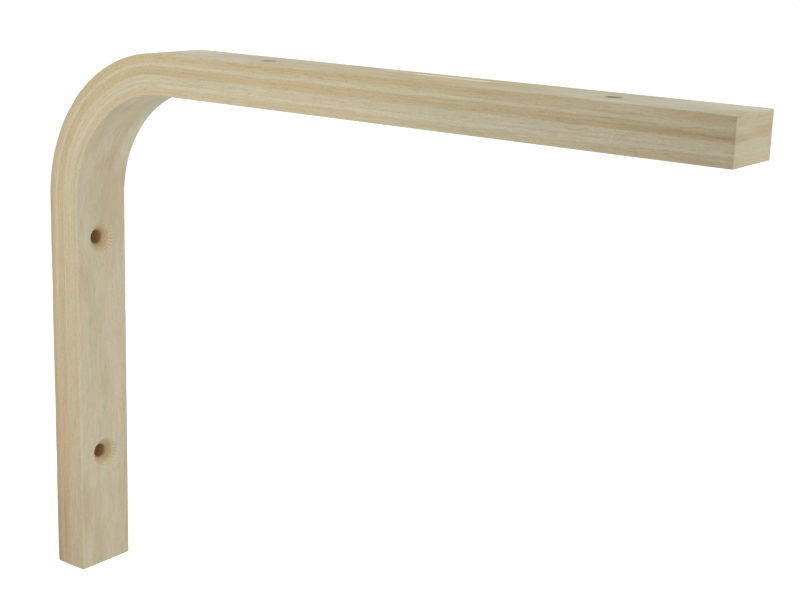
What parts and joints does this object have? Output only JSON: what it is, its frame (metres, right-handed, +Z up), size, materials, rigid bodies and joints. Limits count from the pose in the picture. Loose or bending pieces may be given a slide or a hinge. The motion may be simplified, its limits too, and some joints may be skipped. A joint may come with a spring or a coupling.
{
  "type": "shelf bracket",
  "caption": "Right-angled shelf bracket bent from laminated wood veneers, with countersunk screw holes in its wall leg and its shelf arm.",
  "frame": {"origin": "on the wall face of the leg, on its centreline, midway between the two wall screw holes", "axes": "+X straight out from the wall along the arm, +Y across the width of the bar, +Z up"},
  "size_m": [0.28, 0.025, 0.21],
  "materials": {
    "laminated_wood": "bare, sanded pale veneers glued in layers that follow the bend"
  },
  "bodies": {
    "root": {"bracket": "laminated_wood"}
  },
  "joints": []
}
